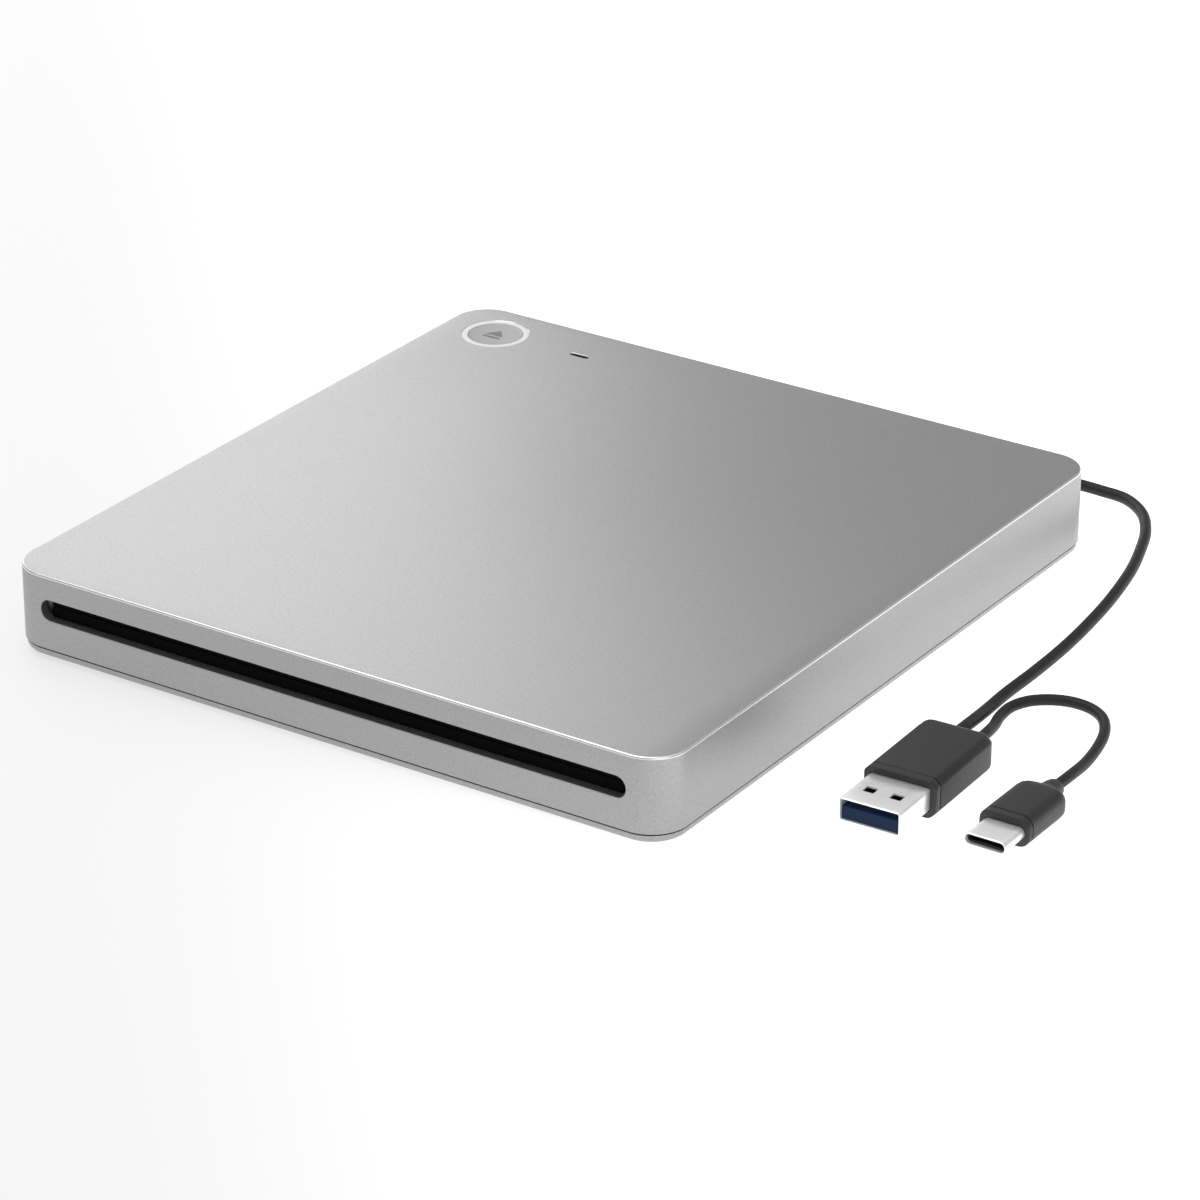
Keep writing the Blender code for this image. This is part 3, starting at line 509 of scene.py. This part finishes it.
def make_foot(node, centre, radius, top):
    """A round rubber foot with a soft edge and three shallow grooves under it."""
    rings = [(radius, top), (radius, 0.34)]
    rings += [(radius - 0.34 + 0.34 * math.cos(a), 0.34 - 0.34 * math.sin(a))
              for a in (math.radians(t) for t in (22, 45, 68, 90))]
    for groove in (3.6, 2.5, 1.4):
        rings += [(groove, 0.0), (groove - 0.15, 0.12), (groove - 0.35, 0.12), (groove - 0.5, 0.0)]
    bm = loft([level(circle(centre, r, 64), z) for r, z in rings])
    ready(as_object(node + "_pad", bm, "rubber", 50), "rubber", replaces=(node,))


def make_key():
    """The light ring, the touch face inside it with a plain eject mark, and the dark window."""
    low = 15.5
    ring_profile = [(RING_OUTER, low), (RING_OUTER, TOP - 0.1), (RING_OUTER - 0.05, TOP - 0.03),
                    (RING_OUTER - 0.16, TOP), (RING_INNER + 0.16, TOP), (RING_INNER + 0.05, TOP - 0.03),
                    (RING_INNER, TOP - 0.1), (RING_INNER, low)]
    ring = as_object("key_ring", loft([level(circle(KEY, r, 96), z) for r, z in ring_profile], hollow=True),
                     "light_guide")
    ready(ring, "light_guide", replaces=("eject_light_ring",))
    # a faint dish: the middle of the face lies a little lower than its rim
    dish = [(RING_INNER - 0.05, low), (RING_INNER - 0.05, TOP - 0.12), (RING_INNER - 0.12, TOP - 0.04)]
    dish += [(r, TOP - 0.05 - 0.12 * (1 - (r / RING_INNER) ** 2)) for r in (5.2, 4.4, 3.4, 2.4, 1.4, 0.5)]
    face = as_object("key_face", loft([level(circle(KEY, r, 96), z) for r, z in dish]), "key_face", 50)
    ready(face, "key_face", replaces=("eject_touch_pad",))
    mark_z = (TOP - 0.19, TOP - 0.135)
    triangle = [(KEY[0] - 2.0, KEY[1] - 0.45), (KEY[0] + 2.0, KEY[1] - 0.45), (KEY[0], KEY[1] + 2.1)]
    bar = rectangle(2.0, 0.4, 0.1, 3, (KEY[0], KEY[1] - 1.5))
    for name, outline in (("key_mark_triangle", triangle), ("key_mark_bar", bar)):
        mark = as_object(name, loft([level(outline, z) for z in mark_z]), "key_mark")
        ready(mark, "key_face")

    def window(inset):
        return rectangle(LED_HALF[0] - inset, LED_HALF[1] - inset, LED_HALF[1] - 0.01 - inset, 10, LED)

    pane_profile = [(0, low), (0, TOP - 0.46), (0.03, TOP - 0.4), (0.1, TOP - 0.37)]
    pane = rounded_block("led_pane", window, pane_profile, "smoked_window")
    ready(pane, "smoked_window", replaces=("status_led_window",))


def make_lips():
    """Two felt strips whose cut edges meet in the middle of the slot, each with a fringe of short fibres."""
    middle = (SLOT_LOW + SLOT_TOP) / 2
    for name, outer, side in (("felt_lip_upper", 14.6, 1), ("felt_lip_lower", 5.6, -1)):
        low, high = node_box(name)
        front, back = low[1], high[1]
        bm = bmesh.new()
        count = 240
        rows = []
        for i in range(count + 1):
            x = -63.4 + 126.8 * i / count
            edge = middle + side * (0.10 + 0.08 * random.random())
            bulge = 0.06 * random.random()
            rows.append([bm.verts.new(Vector(p) * MM) for p in (
                (x, front, outer), (x, front - bulge, middle + side * 1.4), (x, front + 0.12, edge),
                (x, back - 0.12, edge), (x, back, outer))])
        for a, b in zip(rows, rows[1:]):
            for j in range(5):
                k = (j + 1) % 5
                bm.faces.new((a[j], a[k], b[k], b[j]))
        bm.faces.new(rows[0])
        bm.faces.new(rows[-1])
        bmesh.ops.recalc_face_normals(bm, faces=bm.faces)
        ready(as_object(name + "_strip", bm, "felt", 60), "felt", replaces=(name,))

        bm = bmesh.new()
        for _ in range(420):
            x = random.uniform(-63.2, 63.2)
            root = Vector((x, front - 0.02, middle + side * random.uniform(0.15, 1.9)))
            tip = root + Vector((random.uniform(-0.25, 0.25), -random.uniform(0.1, 0.35),
                                 -side * random.uniform(0.05, 0.4)))
            across_x = Vector((0.035, 0, 0))
            lift = Vector((0, 0, 0.035))
            corners = (root - across_x - lift, root + across_x - lift, root + lift)
            base = [bm.verts.new(p * MM) for p in corners]
            end = bm.verts.new(tip * MM)
            bm.faces.new(base)
            for j in range(3):
                bm.faces.new((base[j], base[(j + 1) % 3], end))
        bmesh.ops.recalc_face_normals(bm, faces=bm.faces)
        ready(as_object(name + "_fibres", bm, "felt", 0), "felt")


# ---------------------------------------------------------------- leads

MAIN_ROUTE = [
    (38.0, 82.3, 9.0), (38.0, 86.0, 8.8), (39.5, 90.5, 7.6), (43.5, 94.2, 5.6), (49.5, 96.0, 3.4),
    (56.0, 96.4, 1.8), (62.5, 97.0, 1.2), (69.0, 96.2, 1.2), (75.0, 91.8, 1.2), (79.5, 84.8, 1.2),
    (82.6, 77.0, 1.2), (85.6, 67.5, 1.2), (88.2, 55.5, 1.2), (89.9, 44.2, 1.2), (91.1, 32.2, 1.2),
    (91.6, 20.0, 1.2), (91.6, 9.0, 1.2), (92.1, 2.0, 1.4), (93.2, -4.5, 2.4), (94.2, -11.0, 3.4),
    (94.5, -16.2, 3.6),
]
BRANCH_ROUTE = [
    (98.9, -16.1, 3.6), (98.5, -11.0, 3.2), (96.9, -5.0, 1.9), (95.3, 0.0, 1.2), (95.0, 4.7, 1.1),
    (96.6, 8.6, 1.1), (99.8, 11.3, 1.1), (103.6, 12.5, 1.1), (107.6, 12.0, 1.1), (111.2, 9.6, 1.1),
    (114.0, 5.0, 1.1), (115.8, -1.0, 1.1), (117.2, -8.0, 1.5), (118.1, -14.5, 2.4), (118.4, -20.0, 2.8),
]
MAIN_RADIUS, BRANCH_RADIUS = 1.15, 1.05


def smooth_route(route, spacing):
    """Points a steady distance apart on a Catmull-Rom curve through the route's points, in millimetres."""
    points = [Vector(p) for p in route]
    ends = [2 * points[0] - points[1]] + points + [2 * points[-1] - points[-2]]
    fine = [points[0]]
    for before, here, there, after in zip(ends, ends[1:], ends[2:], ends[3:]):
        for step in range(1, 17):
            t = step / 16
            fine.append(0.5 * (2 * here + (there - before) * t
                               + (2 * before - 5 * here + 4 * there - after) * t * t
                               + (3 * here - before - 3 * there + after) * t ** 3))
    total = sum((b - a).length for a, b in zip(fine, fine[1:]))
    count = round(total / spacing)
    spaced, walked = [fine[0]], 0.0
    for a, b in zip(fine, fine[1:]):
        walked += (b - a).length
        if walked >= total * len(spaced) / count and len(spaced) < count:
            spaced.append(b)
    return spaced + [fine[-1]]


def make_cable(name, node, route, radius, overlap=0.8):
    """A round lead; its ends run a little way into what they come out of. Gives its length in metres."""
    points = smooth_route(route, 1.2)
    points[0] = points[0] + (points[0] - points[1]).normalized() * overlap
    points[-1] = points[-1] + (points[-1] - points[-2]).normalized() * overlap
    curve = bpy.data.curves.new(name, 'CURVE')
    curve.dimensions = '3D'
    curve.bevel_depth = radius * MM
    curve.bevel_resolution = 7
    curve.use_fill_caps = True
    spline = curve.splines.new('POLY')
    spline.points.add(len(points) - 1)
    for target, point in zip(spline.points, points):
        target.co = (*(point * MM), 1.0)
    spline.use_smooth = True
    curve.materials.append(FINISHES["cable_black"])
    lead = bpy.data.objects.new(name, curve)
    bpy.context.scene.collection.objects.link(lead)
    ready(lead, "cable_black", replaces=(node,))
    length = sum((b - a).length for a, b in zip(points, points[1:])) * MM
    return lead, length


def make_grommet():
    """A tapered boot with flexing grooves, its neck in the wall and its flange inside."""
    x, z = GROMMET
    wall = HALF_Y
    bore = MAIN_RADIUS + 0.02
    profile = [(bore, wall - 3.9), (3.5, wall - 3.9), (3.6, wall - 3.8), (3.6, wall - 2.4),
               (2.55, wall - 2.3), (2.55, wall + 0.15), (2.75, wall + 0.2), (2.9, wall + 0.4),
               (2.9, wall + 1.1)]
    for i in range(3):
        start, radius = wall + 1.3 + i * 1.35, 2.62 - 0.26 * i
        profile += [(radius - 0.3, start), (radius - 0.3, start + 0.3), (radius, start + 0.45),
                    (radius - 0.05, start + 1.15)]
    profile += [(1.75, wall + 5.55), (1.68, wall + 5.9), (1.5, wall + 6.0), (bore, wall + 6.0)]
    boot = as_object("lead_boot", loft([across(circle((x, z), r, 48), y) for r, y in profile], hollow=True),
                     "rubber", 35)
    return ready(boot, "rubber", replaces=("cable_grommet",))


# ---------------------------------------------------------------- plugs

def in_plug_frame(thing, front, yaw):
    turn = Matrix.Rotation(math.radians(yaw), 4, 'Z')
    thing.data.transform(Matrix.Translation(Vector((*front, 0.0)) * MM) @ turn)
    return thing


A_FRONT, A_YAW, A_HEIGHT = (97.4, -39.2), 2.0, 7.2
C_FRONT, C_HEIGHT = (118.5, -39.5), 5.6


def chamfered(half_x, low, high, chamfer, soft=0.35):
    """A plug's cross-section in XZ: flat top and bottom, upper and lower side chamfers, softened corners."""
    middle, half_z = (low + high) / 2, (high - low) / 2
    corners = [(half_x, -half_z + chamfer), (half_x, half_z - chamfer), (half_x - chamfer, half_z),
               (-half_x + chamfer, half_z), (-half_x, half_z - chamfer), (-half_x, -half_z + chamfer),
               (-half_x + chamfer, -half_z), (half_x - chamfer, -half_z)]
    points = []
    for before, here, after in zip(corners[-1:] + corners, corners, corners[1:] + corners[:1]):
        here = Vector(here)
        a = here + (Vector(before) - here).normalized() * soft
        b = here + (Vector(after) - here).normalized() * soft
        for t in (0.0, 0.25, 0.5, 0.75, 1.0):
            p = a * (1 - t) ** 2 + here * 2 * t * (1 - t) + b * t * t
            points.append((p.x, p.y + middle))
    return points


def make_usb_a():
    pieces = []
    half, middle = 7.2, A_HEIGHT / 2
    # the overmould from its front rim to its rounded rear shoulders
    stations = [(0.30, 0.0, 0.0), (0.10, 0.0, 0.12), (0.0, 0.0, 0.35), (0.0, 0.0, 1.5), (0.04, 0.0, 1.62),
                (0.30, 0.12, 1.7), (0.30, 0.12, 1.95), (0.05, 0.02, 2.05), (0.0, 0.0, 2.2), (0.0, 0.0, 19.6),
                (0.06, 0.02, 20.6), (0.3, 0.1, 21.4), (0.75, 0.3, 22.0), (1.2, 0.6, 22.3), (1.8, 1.1, 22.5)]
    rings = [across(chamfered(half - inset, squeeze, A_HEIGHT - squeeze, 1.15), y)
             for inset, squeeze, y in stations]
    body = as_object("plug_a_body", loft(rings), "plug_black")
    mouth = rectangle(6.12, 2.37, 0.5, 6, (0.0, middle))
    pocket = as_object("pocket", loft([across(mouth, y) for y in (-1.0, 6.2)]))
    boolean(body, [pocket])
    body = soften(in_plug_frame(body, A_FRONT, A_YAW), 28)
    pieces.append(ready(body, "plug_black", replaces=("usb_a_housing",)))

    # the folded steel shell: outside, rolled front lip, inside
    def shell_ring(grow, y):
        return across(rectangle(6.0 + grow, 2.25 + grow, 0.55 + max(grow, -0.3), 6, (0.0, middle)), y)

    section = [(0.0, 5.9), (0.0, -10.35), (-0.05, -10.65), (-0.13, -10.8),
               (-0.22, -10.8), (-0.3, -10.65), (-0.3, 5.9)]
    rings = [shell_ring(grow, y) for grow, y in section]
    shell = as_object("plug_a_shell", loft(rings, hollow=True), "connector_steel")
    cutters = []
    for side in (-1, 1):
        for z in (middle + 2.25, middle - 2.25):
            outline = rectangle(1.1, 1.0, 0.12, 3, (side * 2.65, -5.65))
            cutters.append(as_object("window", loft([level(outline, z - 0.5), level(outline, z + 0.5)])))
    seam = rectangle(0.06, 9.0, 0.02, 2, (0.0, -3.0))
    cutters.append(as_object("seam", loft([level(seam, middle - 2.75), level(seam, middle - 2.18)])))
    boolean(shell, cutters)
    shell = soften(in_plug_frame(shell, A_FRONT, A_YAW))
    pieces.append(ready(shell, "connector_steel", replaces=("usb_a_shell",)))

    tongue_low, tongue_high = middle - 1.9, middle + 0.55
    tongue_middle = (tongue_low + tongue_high) / 2
    outline = rectangle(5.6, (tongue_high - tongue_low) / 2, 0.12, 3, (0.0, tongue_middle))
    small = rectangle(5.5, (tongue_high - tongue_low) / 2 - 0.1, 0.1, 3, (0.0, tongue_middle))
    rings = [across(small, -10.4), across(outline, -10.3), across(outline, 5.4)]
    tongue = as_object("plug_a_tongue", loft(rings), "plug_blue")
    grooves = []
    contacts = [(x, 1.0, -8.4, -3.0) for x in (-3.5, -1.0, 1.0, 3.5)]
    for x, width, front, rear in contacts:
        groove = rectangle(width / 2 + 0.12, (rear - front) / 2, 0.05, 2, (x, (front + rear) / 2))
        depths = (tongue_high - 0.16, tongue_high + 1)
        grooves.append(as_object("groove", loft([level(groove, z) for z in depths])))
    boolean(tongue, grooves)
    tongue = soften(in_plug_frame(tongue, A_FRONT, A_YAW))
    pieces.append(ready(tongue, "plug_blue", replaces=("usb_a_tongue",)))
    for i, (x, width, front, rear) in enumerate(contacts):
        def strip(inset):
            half_length = (rear - front) / 2 - 0.1 - inset
            return rectangle(width / 2 - inset, half_length, 0.06, 3, (x, (front + rear) / 2))

        steps = ((0, 0.155), (0, 0.08), (0.04, 0.04))
        bm = loft([level(strip(inset), tongue_high - depth) for inset, depth in steps])
        contact = as_object("plug_a_contact_%d" % (i + 1), bm, "brass")
        pieces.append(ready(in_plug_frame(contact, A_FRONT, A_YAW), "brass"))

    # short round collars where the two leads come out of the rear face
    collars = (("plug_a_collar_main", -2.25, MAIN_RADIUS), ("plug_a_collar_branch", 2.15, BRANCH_RADIUS))
    for name, x, radius in collars:
        profile = [(radius + 0.02, 21.6), (radius + 0.75, 21.6), (radius + 0.7, 22.9), (radius + 0.5, 23.3),
                   (radius + 0.25, 23.5), (radius + 0.02, 23.5)]
        bm = loft([across(circle((x, middle), r, 40), y) for r, y in profile], hollow=True)
        collar = in_plug_frame(as_object(name, bm, "plug_black", 40), A_FRONT, A_YAW)
        pieces.append(ready(collar, "plug_black"))
    return pieces


def make_usb_c():
    pieces = []
    middle = C_HEIGHT / 2

    def section(half_x, half_z, y, radius):
        corner = min(radius, half_z - 0.01, half_x - 0.01)
        return across(rectangle(half_x, half_z, corner, 8, (0.0, middle)), y)

    stations = [(4.70, 2.5, 0.0, 2.0), (4.90, 2.7, 0.1, 2.1), (5.0, 2.8, 0.35, 2.2), (5.0, 2.8, 1.3, 2.2),
                (4.78, 2.62, 1.42, 2.1), (4.78, 2.62, 1.62, 2.1), (5.0, 2.8, 1.75, 2.2),
                (5.0, 2.8, 12.0, 2.2),
                (4.9, 2.75, 13.0, 2.2), (4.5, 2.6, 13.8, 2.2), (3.7, 2.42, 14.3, 2.2), (2.9, 2.3, 14.6, 2.2),
                (2.4, 2.15, 15.0, 2.1), (2.2, 2.05, 15.8, 2.0), (2.0, 1.9, 17.3, 1.9), (1.75, 1.7, 18.2, 1.7),
                (1.4, 1.4, 18.5, 1.4)]
    body = as_object("plug_c_body", loft([section(hx, hz, y, r) for hx, hz, y, r in stations]), "plug_black")
    pocket = as_object("pocket", loft([section(4.2, 1.28, y, 1.27) for y in (-1.0, 4.2)]))
    boolean(body, [pocket])
    body = soften(in_plug_frame(body, C_FRONT, 0.0), 28)
    pieces.append(ready(body, "plug_black", replaces=("usb_c_housing",)))

    def tube(grow, y):
        return section(4.125 + grow, 1.2 + grow, y, 1.19 + grow)

    rings = [tube(0.0, 3.9), tube(0.0, -6.25), tube(-0.04, -6.45), tube(-0.12, -6.6), tube(-0.22, -6.6),
             tube(-0.3, -6.45), tube(-0.3, 3.9)]
    shell = as_object("plug_c_shell", loft(rings, hollow=True), "connector_steel")
    pieces.append(ready(in_plug_frame(shell, C_FRONT, 0.0), "connector_steel", replaces=("usb_c_shell",)))
    core = as_object("core", loft([section(3.7, 0.78, y, 0.77) for y in (-5.9, 3.6)]), "black_plastic")
    mouth = as_object("mouth", loft([section(3.35, 0.38, y, 0.2) for y in (-7.0, -1.2)]))
    boolean(core, [mouth])
    core.name = "plug_c_insert"
    core = soften(in_plug_frame(core, C_FRONT, 0.0))
    pieces.append(ready(core, "black_plastic", replaces=("usb_c_insert",)))
    for i in range(8):
        x = -1.75 + 0.5 * i
        bm = loft([across(rectangle(0.13, 0.05, 0.02, 2, (x, middle - 0.36)), y) for y in (-5.6, -1.3)])
        contact = as_object("plug_c_contact_%d" % (i + 1), bm, "brass")
        pieces.append(ready(in_plug_frame(contact, C_FRONT, 0.0), "brass"))
    return pieces


# ---------------------------------------------------------------- carried-over CAD pieces

def finish_cad_nodes():
    """Every CAD piece that still shows gets its slot's finish."""
    slots = {row["node"]: row["material_slot"] for row in frame["record"]["subparts"]}
    for name, node in frame["nodes"].items():
        if node.material_slots:
            for held in node.material_slots:
                held.material = FINISHES[slots[name]]
        else:
            node.data.materials.append(FINISHES[slots[name]])


FINISHES = make_materials()
make_camera()
make_studio()
finish_cad_nodes()
boot = make_grommet()
main_lead, main_length = make_cable("lead_main", "main_cable", MAIN_ROUTE, MAIN_RADIUS)
branch_lead, branch_length = make_cable("lead_branch", "branch_cable", BRANCH_ROUTE, BRANCH_RADIUS)
plug_a = make_usb_a()
plug_c = make_usb_c()
make_case()
make_key()
make_lips()
